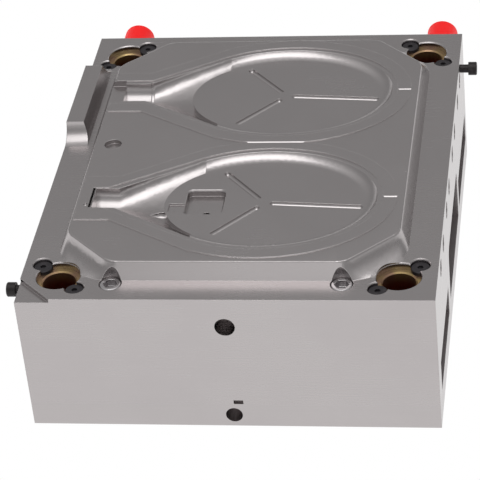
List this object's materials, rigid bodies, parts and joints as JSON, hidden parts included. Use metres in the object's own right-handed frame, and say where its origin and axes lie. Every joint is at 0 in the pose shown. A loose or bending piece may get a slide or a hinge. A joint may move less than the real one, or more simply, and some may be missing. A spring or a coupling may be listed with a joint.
{
  "type": "injection mould cavity half",
  "caption": "Steel cavity half of an injection mould for two racket frames, with guide bushes, water ports, clamping slots and standing feet.",
  "frame": {"origin": "centre of the clamping face, the flat back of the clamp plate", "axes": "+Z out of the clamping face towards the parting face, +X towards the side with the water ports, -Y towards the face with the lifting holes, which is on top when the mould hangs in the machine"},
  "size_m": [0.486, 0.61, 0.198],
  "materials": {
    "machined_steel": "ground and milled tool steel, satin",
    "guide_bronze": "turned bronze, oiled",
    "black_screw": "black oxide",
    "bright_screw": "bright zinc",
    "red_paint": "gloss red paint",
    "plug_brass": "turned brass"
  },
  "bodies": {
    "root": {"bush_screws_front_left": "black_screw", "bush_screws_front_right": "black_screw", "bush_screws_rear_left": "black_screw", "bush_screws_rear_right": "black_screw", "cavity_plate": "machined_steel", "centring_sleeve_front_left": "machined_steel", "centring_sleeve_front_right": "machined_steel", "centring_sleeve_rear_left": "machined_steel", "centring_sleeve_rear_right": "machined_steel", "circuit_stops": "plug_brass", "clamp_plate": "machined_steel", "clamp_screws": "black_screw", "cross_plug": "plug_brass", "foot_left": "red_paint", "foot_right": "red_paint", "foot_screw_left": "black_screw", "foot_screw_right": "black_screw", "guide_bush_front_left": "guide_bronze", "guide_bush_front_right": "guide_bronze", "guide_bush_rear_left": "guide_bronze", "guide_bush_rear_right": "guide_bronze", "locating_ring": "machined_steel", "plate_screw_front_left": "bright_screw", "plate_screw_front_right": "bright_screw", "plate_screw_rear_left": "bright_screw", "plate_screw_rear_right": "bright_screw", "ring_screws": "black_screw", "strap_screw_left": "black_screw", "strap_screw_right": "black_screw"}
  },
  "joints": []
}
